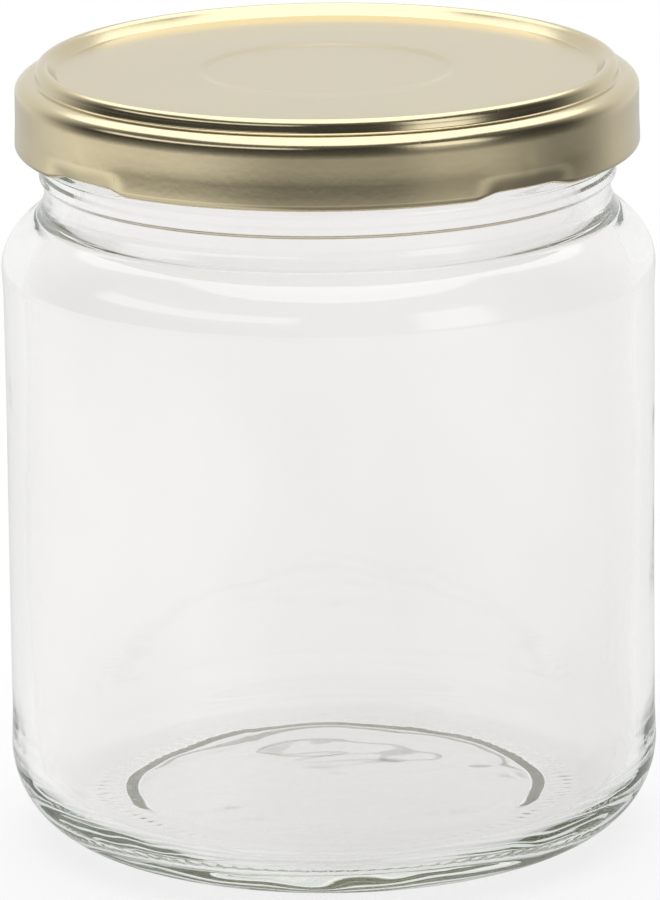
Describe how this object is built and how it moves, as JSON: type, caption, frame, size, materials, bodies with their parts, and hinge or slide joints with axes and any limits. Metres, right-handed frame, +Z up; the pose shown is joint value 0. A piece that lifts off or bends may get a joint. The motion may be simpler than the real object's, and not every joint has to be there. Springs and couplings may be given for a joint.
{
  "type": "candle jar",
  "caption": "Empty round clear glass candle jar with rounded shoulder and heel, and a gold tinplate twist-off lug lid.",
  "frame": {"origin": "centre of the base, on the surface that the jar stands on", "axes": "+Z up along the jar's axis; -Y faces the front view; +X to the right"},
  "size_m": [0.076, 0.076, 0.0916],
  "materials": {
    "clear_glass": "clear flint glass, polished",
    "gold_lacquered_tinplate": "pale gold lacquer, satin to gloss",
    "sealing_compound": "matt, slightly soft"
  },
  "bodies": {
    "jar": {"glass_jar": "clear_glass"},
    "seal": {"sealing_ring": "sealing_compound"},
    "lid": {"lid_shell": "gold_lacquered_tinplate"}
  },
  "joints": [
    {"name": "lid_lift", "type": "slide", "parent": "jar", "child": "seal", "axis": [0, 0, 1], "range_m": [0, 0.05]},
    {"name": "lid_twist", "type": "hinge", "parent": "seal", "child": "lid", "pos_m": [0, 0, 0.085], "axis": [0, 0, 1], "range_deg": [-60, 0]}
  ]
}
